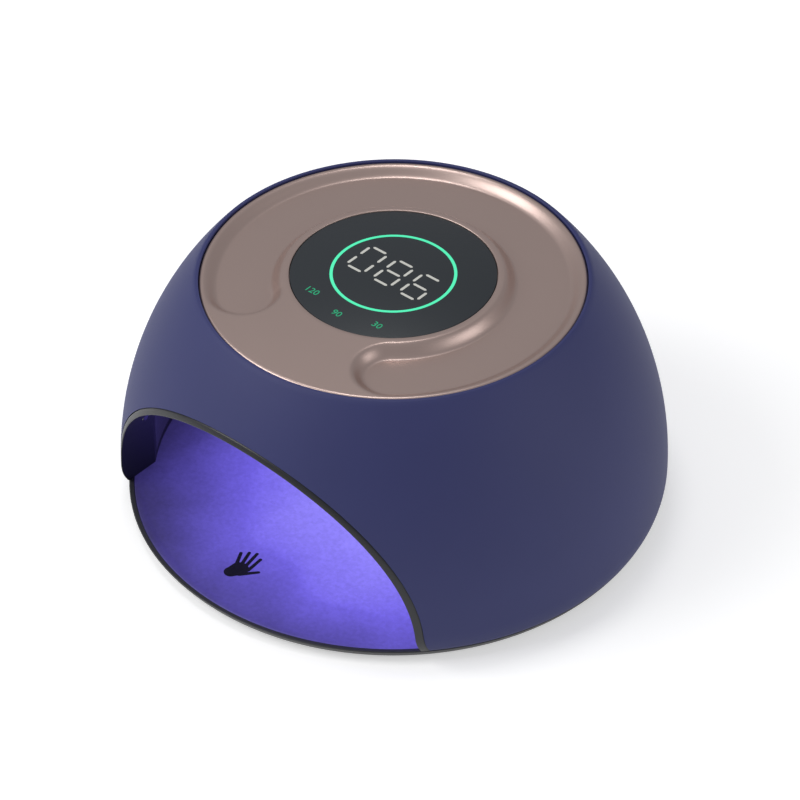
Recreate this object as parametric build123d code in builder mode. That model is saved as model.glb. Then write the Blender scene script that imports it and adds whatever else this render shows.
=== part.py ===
"""Dome-shaped UV LED nail lamp: a magnetic lamp head that lifts off its base plate.

Millimetres, +Z up. The origin is on the table plane under the dome's axis,
and the hand opening faces -Y. Angles are measured about Z from +X.
"""
from build123d import *
import os
from math import cos, radians, sin, sqrt

# ---- dome and walls
outer_radius = 103.0        # widest radius of the dome
widest_height = 14.8        # where the dome is widest
dome_arc = 131.2            # section radius of the side above that
tuck_arc = 20.2             # section radius of the side below that
shell_top = 99.0            # rim of the shell
shell_foot = 5.5            # lower edge of the shell
shell_wall = 2.6
lining_inset = 12.0         # from the dome's outside to the lining's inside
lining_wall = 1.8
lining_foot = 8.0
cavity_height = 80.0        # ceiling above the hand
cavity_corner = 9.0         # round between the wall and the ceiling
assembly_gap = 0.15         # between fixed pieces of the head
parting_gap = 0.3           # between the head and the base

# ---- hand opening: half an ellipse on straight sides
opening_half_width = 75.0
opening_spring = 10.7       # where the straight sides end
opening_rise = 66.1
trim_width = 2.3

# ---- base
foot_height = 1.7
foot_radius = 6.0
foot_circle = 82.0
foot_count = 6
foot_pocket = 0.5           # how deep the feet sit in the base plate
tray_thickness = 1.0
tray_margin = 2.0           # black rim left outside the tray

# ---- top cover, its channel and the display window
cover_edge_height = 98.6
cover_bottom = 93.0
cover_gap = 0.2
cover_edge_round = 1.2
shell_lip = 1.3             # width of the shell's rim around the cover
ledge_width = 7.4
ledge_thickness = 1.8
display_top = 100.0
display_radius = 37.9
display_thickness = 1.6
display_lip = 1.4
display_lip_height = 0.2
display_ledge = 4.0
channel_radius = 54.9       # middle of the curved channel
channel_half_width = 10.0
channel_floor = 95.6
channel_slope = 4.6         # how far each side wall leans out
channel_end_angle = 40.0    # from the front to the centre of each round end

# ---- light sources
bead_radius = 3.2
bead_body = 2.8
bead_crown = 1.8
bead_clearance = 0.4
ceiling_rings = [(18.0, 5), (46.0, 11)]     # circle radius, bead count
ceiling_board_radius = 60.0
ceiling_board_drop = 1.0    # height of the lining's pads under the board
board_thickness = 1.6
spreader_radius = 57.0
spreader_thickness = 1.5
wall_bead_height = 36.0
wall_bead_angles = [-25.0 + 20.0 * i for i in range(12)]
wall_strip_gap = 2.1        # from the lining to the strip behind it
wall_strip_thickness = 1.2
wall_strip_height = 14.0
wall_strip_overhang = 5.0   # degrees past the last beads

# ---- control board and what it carries
standoff_height = 4.1
standoff_radius = 2.4
standoff_circle = 27.0
control_board_radius = 33.6
module_length = 37.7
module_width = 19.0
module_height = 6.2
guide_radius = 22.7         # middle of the ring light
guide_width = 1.5
window_clearance = 0.3
touch_circle = 31.6
touch_angles = [-120.0, -90.0, -60.0]
touch_radius = 1.6
touch_wire = 0.4

# ---- power board
driver_length = 46.0
driver_width = 18.0
driver_centre = 44.0
pad_thickness = 1.0
inductor_radius = 5.0
part_height = 3.8
capacitor_radius = 2.5
capacitor_spacing = 13.0

# ---- inlet, sensor, magnets and screws
inlet_height = 20.0
inlet_radius = 5.5
inlet_recess = 0.3
inlet_length = 8.8
jack_radius = 2.85
jack_depth = 7.0
jack_pin_radius = 1.0
lead_radius = 0.8
lead_spacing = 3.6
lead_inset = 4.2            # from the dome's outside to a lead
sensor_height = 38.0
sensor_radius = 1.5
sensor_length = 4.5
sensor_stand = 0.4          # how far the sensor's window stands out
magnet_radius = 2.5
magnet_height = 2.0
magnet_angles = [-15.0, 37.0, 90.0, 143.0, 195.0]
screw_radius = 1.25
screw_clearance = 0.15
screw_head_radius = 2.0
screw_head_height = 1.4
boss_radius = 2.2
boss_web = 2.0              # thickness of the web that ties a boss to the shell
boss_height = 16.0
boss_angles = [-32.0, 15.0, 60.0, 120.0, 165.0, 212.0]
cover_screw_angles = [0.0, 60.0, 120.0, 180.0, 240.0, 300.0]
board_screw_circle = 52.0
board_screw_angles = [15.0, 165.0, 232.0, 308.0]

front_angle = -90.0


def dome_radius(height, inset=0.0):
    """Radius of the dome, or of a surface set in from it, at a height."""
    rise = height - widest_height
    arc = dome_arc if rise >= 0 else tuck_arc
    return outer_radius - arc + sqrt((arc - inset) ** 2 - rise**2)


# ---- places that follow from the sizes above
plate_bottom = foot_height - foot_pocket
tray_top = shell_foot - parting_gap
tray_radius = dome_radius(tray_top) - tray_margin
cover_radius = dome_radius(shell_top) - shell_lip - cover_gap
ledge_inner = cover_radius - ledge_width
ledge_bottom = cover_bottom - ledge_thickness
lining_outer_inset = lining_inset - lining_wall
lining_radius = outer_radius - lining_inset
lining_top = cavity_height + lining_wall
ceiling_board_bottom = lining_top + ceiling_board_drop
spreader_bottom = ceiling_board_bottom + board_thickness
spreader_top = spreader_bottom + spreader_thickness
control_bottom = spreader_top + standoff_height
control_top = control_bottom + board_thickness
window_bottom = display_top - display_thickness
hole_radius = display_radius - display_ledge
driver_bottom = spreader_top + pad_thickness
driver_top = driver_bottom + board_thickness
strip_inner = dome_radius(wall_bead_height, lining_outer_inset) + wall_strip_gap
chassis_outer = dome_radius(shell_foot, shell_wall + assembly_gap)
chassis_middle = (lining_radius + chassis_outer) / 2
boss_circle = chassis_outer - screw_head_radius - screw_clearance - assembly_gap
web_end = dome_radius(lining_foot) - shell_wall / 2
cover_screw_circle = cover_radius - ledge_width / 2
channel_arc = 360.0 - 2 * channel_end_angle
inlet_front = dome_radius(inlet_height) - inlet_recess
sensor_wall = (dome_radius(sensor_height) + dome_radius(sensor_height, lining_inset)) / 2


def polar(radius, angle, height=0.0):
    """A point at a radius and an angle about Z."""
    return (radius * cos(radians(angle)), radius * sin(radians(angle)), height)


def section_plane(angle):
    """Upright plane through Z whose local X points out at an angle."""
    x_dir = (cos(radians(angle)), sin(radians(angle)), 0)
    return Plane(origin=(0, 0, 0), x_dir=x_dir, z_dir=(x_dir[1], -x_dir[0], 0))


def side_line(low, high, inset=0.0):
    """The dome's side between two heights, drawn in the open BuildLine."""
    stops = sorted({low, high, min(max(widest_height, low), high)})
    for start, end in zip(stops, stops[1:]):
        middle = (start + end) / 2
        ThreePointArc(*[(dome_radius(z, inset), z) for z in (start, middle, end)])


def opening_reach(height, grow=0.0):
    """Half the width of the hand opening at a height above its straight sides."""
    rise = (height - opening_spring) / (opening_rise + grow)
    return (opening_half_width + grow) * sqrt(1 - rise**2)


def opening_outline(grow=0.0):
    """The hand opening, drawn in the open BuildSketch on the XZ plane."""
    with Locations((0, opening_spring)):
        Ellipse(opening_half_width + grow, opening_rise + grow)
        Rectangle(
            2 * (opening_half_width + grow),
            2 * widest_height,
            align=(Align.CENTER, Align.MAX),
        )


def opening_block(grow):
    """A solid in the shape of the hand opening, from the dome's axis out through the front."""
    with BuildPart() as block:
        with BuildSketch(Plane.XZ):
            opening_outline(grow)
        extrude(amount=outer_radius + lining_inset)
    return block.part


def screw(length):
    """One pan-head screw, head up, with its seat at the origin."""
    with BuildPart() as one_screw:
        Cylinder(screw_radius, length, align=(Align.CENTER, Align.CENTER, Align.MAX))
        Cylinder(
            screw_head_radius,
            screw_head_height,
            align=(Align.CENTER, Align.CENTER, Align.MIN),
        )
        recess = one_screw.faces().sort_by(Axis.Z)[-1]
        with BuildSketch(recess):
            RegularPolygon(screw_head_radius * 0.5, 6)
        extrude(amount=-screw_head_height * 0.5, mode=Mode.SUBTRACT)
    return one_screw.part


def finish(builder, name):
    """Labels a finished piece and writes it."""
    builder.part.label = name
    export_step(builder.part, f"parts/{name}.step")


sensor_y = -sqrt(sensor_wall**2 - opening_reach(sensor_height) ** 2)

os.makedirs("parts", exist_ok=True)
opening_cut = opening_block(assembly_gap)

# ================= base =================

with BuildPart() as base_plate:
    with BuildSketch(Plane.XZ):
        with BuildLine():
            side_line(plate_bottom, tray_top)
            Polyline(
                (dome_radius(tray_top), tray_top),
                (tray_radius + assembly_gap, tray_top),
                (tray_radius + assembly_gap, tray_top - tray_thickness),
                (0, tray_top - tray_thickness),
                (0, plate_bottom),
                (dome_radius(plate_bottom), plate_bottom),
            )
        make_face()
    revolve(axis=Axis.Z)
    with BuildSketch(Plane.XY.offset(plate_bottom)):
        with PolarLocations(foot_circle, foot_count):
            Circle(foot_radius + assembly_gap)
    extrude(amount=foot_pocket, mode=Mode.SUBTRACT)
finish(base_plate, "base_plate")

with BuildPart() as base_tray:
    with BuildSketch(Plane.XY.offset(tray_top - tray_thickness)):
        Circle(tray_radius)
    extrude(amount=tray_thickness)
    fillet(base_tray.edges().group_by(Axis.Z)[-1], radius=tray_thickness * 0.4)
finish(base_tray, "base_tray")

with BuildPart() as rubber_feet:
    with BuildSketch():
        with PolarLocations(foot_circle, foot_count):
            Circle(foot_radius)
    extrude(amount=foot_height)
    chamfer(rubber_feet.edges().group_by(Axis.Z)[0], length=foot_pocket)
finish(rubber_feet, "rubber_feet")

# ================= head: shell, trim and chassis =================

with BuildPart() as outer_shell:
    with BuildSketch(Plane.XZ):
        with BuildLine():
            side_line(shell_foot, shell_top)
            Polyline(
                (dome_radius(shell_top), shell_top),
                (cover_radius + cover_gap, shell_top),
                (cover_radius + cover_gap, cover_bottom),
                (ledge_inner, cover_bottom),
                (ledge_inner, ledge_bottom),
                (dome_radius(ledge_bottom, shell_wall), ledge_bottom),
            )
            side_line(shell_foot, ledge_bottom, shell_wall)
            Line(
                (dome_radius(shell_foot, shell_wall), shell_foot),
                (dome_radius(shell_foot), shell_foot),
            )
        make_face()
    revolve(axis=Axis.Z)
    for angle in boss_angles:
        with BuildSketch(Plane.XY.offset(lining_foot)):
            with Locations(polar(boss_circle, angle)[:2]):
                Circle(boss_radius)
            with Locations(Location(polar((boss_circle + web_end) / 2, angle), (0, 0, angle))):
                Rectangle(web_end - boss_circle, boss_web)
        extrude(amount=boss_height)
    for angle in boss_angles:
        with BuildSketch(Plane.XY.offset(lining_foot)):
            with Locations(polar(boss_circle, angle)[:2]):
                Circle(screw_radius + screw_clearance)
        extrude(amount=boss_height - shell_wall, mode=Mode.SUBTRACT)
    add(opening_cut, mode=Mode.SUBTRACT)
    with BuildSketch(Plane.XZ.offset(-outer_radius)):
        with Locations((0, inlet_height)):
            Circle(inlet_radius + assembly_gap)
    extrude(amount=lining_outer_inset, mode=Mode.SUBTRACT)
    for angle in cover_screw_angles:
        with BuildSketch(Plane.XY.offset(ledge_bottom)):
            with Locations(polar(cover_screw_circle, angle)[:2]):
                Circle(screw_radius + screw_clearance)
        extrude(amount=ledge_thickness, mode=Mode.SUBTRACT)
finish(outer_shell, "outer_shell")

with BuildPart() as arch_trim:
    add(opening_block(0))
    add(opening_block(-trim_width), mode=Mode.SUBTRACT)
    trim_top = opening_spring + opening_rise + trim_width
    with BuildSketch(Plane.XZ):
        with BuildLine():
            side_line(shell_foot, trim_top)
            Line(
                (dome_radius(trim_top), trim_top),
                (dome_radius(trim_top, lining_inset), trim_top),
            )
            side_line(widest_height, trim_top, lining_inset)
            Polyline(
                (lining_radius, widest_height),
                (lining_radius, shell_foot),
                (dome_radius(shell_foot), shell_foot),
            )
        make_face()
    revolve(axis=Axis.Z, mode=Mode.INTERSECT)
    with BuildSketch(Plane.YZ.offset(-outer_radius)):
        with Locations((sensor_y, sensor_height)):
            Circle(sensor_radius + assembly_gap)
    extrude(amount=2 * outer_radius, mode=Mode.SUBTRACT)
finish(arch_trim, "arch_trim")

with BuildPart() as chassis_ring:
    with BuildSketch(Plane.XY.offset(shell_foot)):
        Circle(chassis_outer)
        Circle(lining_radius, mode=Mode.SUBTRACT)
    extrude(amount=lining_foot - shell_foot)
    for angle in magnet_angles:
        with BuildSketch(Plane.XY.offset(shell_foot)):
            with Locations(polar(chassis_middle, angle)[:2]):
                Circle(magnet_radius + assembly_gap / 2)
        extrude(amount=magnet_height, mode=Mode.SUBTRACT)
    for angle in boss_angles:
        with BuildSketch(Plane.XY.offset(shell_foot)):
            with Locations(polar(boss_circle, angle)[:2]):
                Circle(screw_radius + screw_clearance)
        extrude(amount=lining_foot - shell_foot, mode=Mode.SUBTRACT)
        with BuildSketch(Plane.XY.offset(shell_foot)):
            with Locations(polar(boss_circle, angle)[:2]):
                Circle(screw_head_radius + screw_clearance)
        extrude(amount=screw_head_height, mode=Mode.SUBTRACT)
    add(opening_cut, mode=Mode.SUBTRACT)
finish(chassis_ring, "chassis_ring")

with BuildPart() as head_magnets:
    with BuildSketch(Plane.XY.offset(shell_foot)):
        with Locations(*[polar(chassis_middle, angle)[:2] for angle in magnet_angles]):
            Circle(magnet_radius)
    extrude(amount=magnet_height)
finish(head_magnets, "head_magnets")

chassis_screw = screw(lining_foot - shell_foot + boss_height / 2)

with BuildPart() as chassis_screws:
    for angle in boss_angles:
        seat = polar(boss_circle, angle, shell_foot + screw_head_height)
        with Locations(Location(seat, (180, 0, 0))):
            add(chassis_screw)
finish(chassis_screws, "chassis_screws")

# ================= head: reflector lining and light sources =================


def domed_block(inset, top, corner):
    """A solid dome set in from the lamp's outside, with a flat, rounded top."""
    with BuildPart() as block:
        with BuildSketch(Plane.XZ):
            with BuildLine():
                side_line(widest_height, top, inset)
                Polyline(
                    (dome_radius(top, inset), top),
                    (0, top),
                    (0, lining_foot),
                    (outer_radius - inset, lining_foot),
                    (outer_radius - inset, widest_height),
                )
            make_face()
        revolve(axis=Axis.Z)
        rim = block.edges().filter_by(GeomType.CIRCLE).group_by(Axis.Z)[-1]
        fillet(rim, radius=corner)
    return block.part


lining_outside = domed_block(lining_outer_inset, lining_top, cavity_corner)
lining_inside = domed_block(lining_inset, cavity_height, cavity_corner - lining_wall)

with BuildPart() as inner_lining:
    add(lining_outside)
    add(lining_inside, mode=Mode.SUBTRACT)
    for angle in board_screw_angles:
        with BuildSketch(Plane.XY.offset(lining_top)):
            with Locations(polar(board_screw_circle, angle)[:2]):
                Circle(boss_radius)
        extrude(amount=ceiling_board_drop)
        with BuildSketch(Plane.XY.offset(ceiling_board_bottom)):
            with Locations(polar(board_screw_circle, angle)[:2]):
                Circle(screw_radius + screw_clearance)
        extrude(amount=-(ceiling_board_drop + lining_wall / 2), mode=Mode.SUBTRACT)
    for ring_radius, count in ceiling_rings:
        with BuildSketch(Plane.XY.offset(cavity_height)):
            with PolarLocations(ring_radius, count, start_angle=front_angle):
                Circle(bead_radius + bead_clearance)
        extrude(amount=lining_wall, mode=Mode.SUBTRACT)
    for angle in wall_bead_angles:
        with BuildSketch(section_plane(angle - 90)):
            with Locations((0, wall_bead_height)):
                Circle(bead_radius + bead_clearance)
        extrude(amount=-outer_radius, mode=Mode.SUBTRACT)
    add(opening_cut, mode=Mode.SUBTRACT)
finish(inner_lining, "inner_lining")


def light_bead():
    """One light source: a flat base at the origin and a crowned lens towards -Z."""
    with BuildPart() as bead:
        with BuildSketch(Plane.XZ):
            with BuildLine():
                Polyline((0, 0), (bead_radius, 0), (bead_radius, -bead_body))
                EllipticalCenterArc(
                    (0, -bead_body),
                    bead_radius,
                    bead_crown,
                    start_angle=270,
                    arc_size=90,
                )
                Line((0, -bead_body - bead_crown), (0, 0))
            make_face()
        revolve(axis=Axis.Z)
    return bead.part


one_bead = light_bead()

with BuildPart() as ceiling_leds:
    for ring_radius, count in ceiling_rings:
        for i in range(count):
            angle = front_angle + 360.0 * i / count
            with Locations(polar(ring_radius, angle, ceiling_board_bottom)):
                add(one_bead)
finish(ceiling_leds, "ceiling_leds")

with BuildPart() as wall_leds:
    for angle in wall_bead_angles:
        seat = polar(strip_inner - assembly_gap, angle, wall_bead_height)
        with Locations(Location(seat, (0, 0, angle)) * Location((0, 0, 0), (0, 90, 0))):
            add(one_bead)
finish(wall_leds, "wall_leds")

with BuildPart() as wall_led_strip:
    strip_start = wall_bead_angles[0] - wall_strip_overhang
    strip_end = wall_bead_angles[-1] + wall_strip_overhang
    with BuildSketch(section_plane(strip_start)):
        with Locations((strip_inner + wall_strip_thickness / 2, wall_bead_height)):
            Rectangle(wall_strip_thickness, wall_strip_height)
    revolve(axis=Axis.Z, revolution_arc=strip_end - strip_start)
finish(wall_led_strip, "wall_led_strip")

with BuildPart() as ceiling_led_board:
    with BuildSketch(Plane.XY.offset(ceiling_board_bottom)):
        Circle(ceiling_board_radius)
        with Locations(*[polar(board_screw_circle, a)[:2] for a in board_screw_angles]):
            Circle(screw_radius + screw_clearance, mode=Mode.SUBTRACT)
    extrude(amount=board_thickness)
finish(ceiling_led_board, "ceiling_led_board")

with BuildPart() as heat_spreader:
    with BuildSketch(Plane.XY.offset(spreader_bottom)):
        Circle(spreader_radius)
        with Locations(*[polar(board_screw_circle, a)[:2] for a in board_screw_angles]):
            Circle(screw_radius + screw_clearance, mode=Mode.SUBTRACT)
    extrude(amount=spreader_thickness)
finish(heat_spreader, "heat_spreader")

board_screw = screw(spreader_top - lining_top + lining_wall / 2 - screw_clearance)

with BuildPart() as board_screws:
    with Locations(*[polar(board_screw_circle, a, spreader_top) for a in board_screw_angles]):
        add(board_screw)
finish(board_screws, "board_screws")

# ================= head: control electronics =================

with BuildPart() as board_standoffs:
    with BuildSketch(Plane.XY.offset(spreader_top)):
        with PolarLocations(standoff_circle, 4, start_angle=45):
            RegularPolygon(standoff_radius, 6)
    extrude(amount=standoff_height)
finish(board_standoffs, "board_standoffs")

with BuildPart() as control_board:
    with BuildSketch(Plane.XY.offset(control_bottom)):
        Circle(control_board_radius)
    extrude(amount=board_thickness)
finish(control_board, "control_board")

with BuildPart() as digit_display:
    with BuildSketch(Plane.XY.offset(control_top)):
        Rectangle(module_length, module_width)
    extrude(amount=module_height)
    chamfer(digit_display.edges().group_by(Axis.Z)[-1], length=0.4)
finish(digit_display, "digit_display")

with BuildPart() as ring_light_guide:
    with BuildSketch(Plane.XY.offset(control_top)):
        Circle(guide_radius + guide_width / 2)
        Circle(guide_radius - guide_width / 2, mode=Mode.SUBTRACT)
    extrude(amount=window_bottom - window_clearance - control_top)
finish(ring_light_guide, "ring_light_guide")

with BuildPart() as touch_springs:
    with BuildSketch(Plane.XY.offset(control_top)):
        with Locations(*[polar(touch_circle, a)[:2] for a in touch_angles]):
            Circle(touch_radius)
            Circle(touch_radius - touch_wire, mode=Mode.SUBTRACT)
    extrude(amount=window_bottom - window_clearance - control_top)
finish(touch_springs, "touch_springs")

with BuildPart() as buzzer:
    with BuildSketch(Plane.XY.offset(control_top)):
        with Locations(polar(touch_circle - capacitor_radius, 90)[:2]):
            Circle(capacitor_radius)
    extrude(amount=part_height)
finish(buzzer, "buzzer")

with BuildPart() as thermal_pad:
    with BuildSketch(Plane.XY.offset(spreader_top)):
        with Locations((0, driver_centre)):
            Rectangle(driver_length - 6, driver_width - 4)
    extrude(amount=pad_thickness)
finish(thermal_pad, "thermal_pad")

with BuildPart() as driver_board:
    with BuildSketch(Plane.XY.offset(driver_bottom)):
        with Locations((0, driver_centre)):
            Rectangle(driver_length, driver_width)
    extrude(amount=board_thickness)
finish(driver_board, "driver_board")

with BuildPart() as driver_inductor:
    with BuildSketch(Plane.XY.offset(driver_top)):
        with Locations((-driver_length / 4, driver_centre)):
            RectangleRounded(2 * inductor_radius, 2 * inductor_radius, 1.5)
    extrude(amount=part_height)
finish(driver_inductor, "driver_inductor")

with BuildPart() as driver_capacitors:
    with BuildSketch(Plane.XY.offset(driver_top)):
        with Locations((driver_length / 4, driver_centre)):
            with GridLocations(capacitor_spacing, 1, 2, 1):
                Circle(capacitor_radius)
    extrude(amount=part_height)
finish(driver_capacitors, "driver_capacitors")

# ================= head: inlet, leads and sensor =================

with BuildPart() as dc_inlet:
    with BuildSketch(Plane.XZ.offset(-inlet_front)):
        with Locations((0, inlet_height)):
            Circle(inlet_radius)
    extrude(amount=inlet_length)
    with BuildSketch(Plane.XZ.offset(-inlet_front)):
        with Locations((0, inlet_height)):
            Circle(jack_radius)
            Circle(jack_pin_radius, mode=Mode.SUBTRACT)
    extrude(amount=jack_depth, mode=Mode.SUBTRACT)
finish(dc_inlet, "dc_inlet")

with BuildPart() as inlet_leads:
    lead_start = inlet_height + inlet_radius
    strip_top = wall_bead_height + wall_strip_height / 2
    lead_heights = [lead_start, strip_top + lead_radius, cavity_height]
    board_level = driver_top + lead_radius
    for x in (-lead_spacing / 2, lead_spacing / 2):
        route = [(x, dome_radius(z, lead_inset), z) for z in lead_heights]
        route.append((x, dome_radius(board_level) - lining_inset, board_level))
        route.append((x, driver_centre + driver_width / 2 - 2, board_level))
        with BuildLine() as lead_path:
            FilletPolyline(*route, radius=6.0)
        with BuildSketch(Plane(origin=route[0], z_dir=lead_path.line % 0)):
            Circle(lead_radius)
        sweep(path=lead_path.line)
finish(inlet_leads, "inlet_leads")


def sensor(side):
    """One half of the hand sensor, seated in the trim's side; side is -1 or +1."""
    face_x = opening_reach(sensor_height, -trim_width) - sensor_stand
    plane = Plane(origin=(side * face_x, sensor_y, sensor_height), z_dir=(side, 0, 0))
    with BuildPart() as one_sensor:
        with BuildSketch(plane):
            Circle(sensor_radius)
        extrude(amount=sensor_length)
        window_edge = one_sensor.edges().sort_by(lambda edge: abs(edge.center().X))[0]
        fillet(window_edge, radius=sensor_radius * 0.5)
    return one_sensor


finish(sensor(-1), "sensor_emitter")
finish(sensor(1), "sensor_receiver")

# ================= head: top cover and display window =================

with BuildPart() as top_cover:
    lip_top = display_top + display_lip_height
    lip_inner = display_radius + cover_gap
    lip_outer = lip_inner + display_lip
    with BuildSketch(Plane.XZ):
        with BuildLine():
            Polyline(
                (hole_radius, cover_bottom),
                (hole_radius, window_bottom),
                (lip_inner, window_bottom),
                (lip_inner, lip_top),
                (lip_outer, lip_top),
                (cover_radius - cover_edge_round, cover_edge_height),
                (cover_radius, cover_edge_height - cover_edge_round),
                (cover_radius, cover_bottom),
                close=True,
            )
        make_face()
    revolve(axis=Axis.Z)
    over = lip_top + 1
    lean = channel_slope * (over - channel_floor) / (lip_top - channel_floor)
    floor_inner = channel_radius - channel_half_width
    floor_outer = channel_radius + channel_half_width
    with BuildSketch(section_plane(front_angle + channel_end_angle)):
        with BuildLine():
            Polyline(
                (floor_inner, channel_floor),
                (floor_outer, channel_floor),
                (floor_outer + lean, over),
                (floor_inner - lean, over),
                close=True,
            )
        make_face()
    revolve(axis=Axis.Z, revolution_arc=channel_arc, mode=Mode.SUBTRACT)
    for side in (-1, 1):
        end = polar(channel_radius, front_angle + side * channel_end_angle, channel_floor)
        with Locations(end):
            Cone(
                channel_half_width,
                channel_half_width + lean,
                over - channel_floor,
                align=(Align.CENTER, Align.CENTER, Align.MIN),
                mode=Mode.SUBTRACT,
            )
    for angle in cover_screw_angles:
        with BuildSketch(Plane.XY.offset(cover_bottom)):
            with Locations(polar(cover_screw_circle, angle)[:2]):
                Circle(screw_radius + screw_clearance)
        extrude(amount=(channel_floor - cover_bottom) * 0.8, mode=Mode.SUBTRACT)
finish(top_cover, "top_cover")

cover_screw = screw(ledge_thickness + (channel_floor - cover_bottom) * 0.7)

with BuildPart() as cover_screws:
    for angle in cover_screw_angles:
        seat = polar(cover_screw_circle, angle, ledge_bottom)
        with Locations(Location(seat, (180, 0, 0))):
            add(cover_screw)
finish(cover_screws, "cover_screws")

with BuildPart() as display_window:
    with BuildSketch(Plane.XY.offset(window_bottom)):
        Circle(display_radius)
    extrude(amount=display_thickness)
    chamfer(display_window.edges().group_by(Axis.Z)[-1], length=display_lip_height)
finish(display_window, "display_window")
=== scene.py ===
from math import atan2, cos, hypot, pi, radians, sin, sqrt

import bmesh
import bpy
from mathutils import Matrix, Vector


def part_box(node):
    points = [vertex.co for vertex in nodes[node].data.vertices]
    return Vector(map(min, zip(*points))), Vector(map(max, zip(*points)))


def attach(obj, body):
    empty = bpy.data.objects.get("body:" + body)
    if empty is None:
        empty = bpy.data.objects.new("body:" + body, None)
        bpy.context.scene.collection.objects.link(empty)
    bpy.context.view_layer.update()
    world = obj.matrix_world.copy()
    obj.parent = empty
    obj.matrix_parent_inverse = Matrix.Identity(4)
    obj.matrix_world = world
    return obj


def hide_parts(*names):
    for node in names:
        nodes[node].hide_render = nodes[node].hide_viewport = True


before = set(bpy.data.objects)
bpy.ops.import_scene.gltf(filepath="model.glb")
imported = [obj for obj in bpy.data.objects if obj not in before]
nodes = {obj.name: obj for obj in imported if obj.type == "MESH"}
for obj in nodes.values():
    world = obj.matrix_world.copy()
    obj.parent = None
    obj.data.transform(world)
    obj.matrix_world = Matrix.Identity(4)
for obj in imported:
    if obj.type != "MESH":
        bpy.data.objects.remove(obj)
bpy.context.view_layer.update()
mm = 0.001
print("frame loaded")

cameraSetup = {
    "azimuth": 41.0,          # degrees, from the front towards +X
    "elevation": 39.26,
    "distance": 1.5,
    "lens": 180.8,
    "target": (0.0022, 0.0, 0.0404),  # in the camera's own turned frame
    "roll": -0.246,
}


def turned(x, y, z):
    # a place given looking from the camera: x right, y away, z up
    a = radians(cameraSetup["azimuth"])
    return Vector((x * cos(a) - y * sin(a), x * sin(a) + y * cos(a), z))


def addCamera():
    el = radians(cameraSetup["elevation"])
    roll = radians(cameraSetup["roll"])
    forward = turned(0, cos(el), -sin(el))
    right = turned(1, 0, 0)
    up = right.cross(forward)
    rolledRight = cos(roll) * right + sin(roll) * up
    rolledUp = cos(roll) * up - sin(roll) * right
    place = turned(*cameraSetup["target"]) - cameraSetup["distance"] * forward
    data = bpy.data.cameras.new("camera")
    data.lens = cameraSetup["lens"]
    data.sensor_width = 36
    data.clip_start = 0.05
    camera = bpy.data.objects.new("camera", data)
    turn = Matrix((rolledRight, rolledUp, -forward)).transposed()
    camera.matrix_world = Matrix.Translation(place) @ turn.to_4x4()
    bpy.context.collection.objects.link(camera)
    bpy.context.scene.camera = camera


lampSetup = {
    # name: (place in the camera's turned frame, size, watts)
    "keyLamp": ((-1.15, -0.15, 1.05), (0.9, 0.9), 11.0),
    "fillLamp": ((1.15, -0.5, 0.5), (0.8, 0.5), 3.0),
    "backLamp": ((-0.15, 0.25, 1.5), (0.5, 0.35), 4.0),
}
aimHeight = 0.05   # metres above the table, what every lamp points at


def addLamps():
    for name, (place, size, watts) in lampSetup.items():
        data = bpy.data.lights.new(name, "AREA")
        data.shape = "RECTANGLE"
        data.size, data.size_y = size
        data.energy = watts
        lamp = bpy.data.objects.new(name, data)
        spot = turned(*place)
        lamp.location = spot
        aim = Vector((0, 0, aimHeight)) - spot
        lamp.rotation_euler = aim.to_track_quat("-Z", "Y").to_euler()
        bpy.context.collection.objects.link(lamp)


studioSetup = {
    "worldColor": (0.95, 0.96, 1.0, 1),
    "worldStrength": 0.38,
    "floorSize": 4.0,     # metres from the middle to an edge
    "floorColor": (0.8, 0.8, 0.8, 1),
    "floorGlow": 0.45,
}


def addWorld():
    world = bpy.data.worlds.new("studio")
    world.use_nodes = True
    tree = world.node_tree
    tree.nodes.clear()
    out = tree.nodes.new("ShaderNodeOutputWorld")
    mix = tree.nodes.new("ShaderNodeMixShader")
    soft = tree.nodes.new("ShaderNodeBackground")
    soft.inputs["Color"].default_value = studioSetup["worldColor"]
    soft.inputs["Strength"].default_value = studioSetup["worldStrength"]
    seen = tree.nodes.new("ShaderNodeBackground")
    seen.inputs["Color"].default_value = (1, 1, 1, 1)
    path = tree.nodes.new("ShaderNodeLightPath")
    tree.links.new(path.outputs["Is Camera Ray"], mix.inputs["Fac"])
    tree.links.new(soft.outputs[0], mix.inputs[1])
    tree.links.new(seen.outputs[0], mix.inputs[2])
    tree.links.new(mix.outputs[0], out.inputs["Surface"])
    bpy.context.scene.world = world


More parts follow.
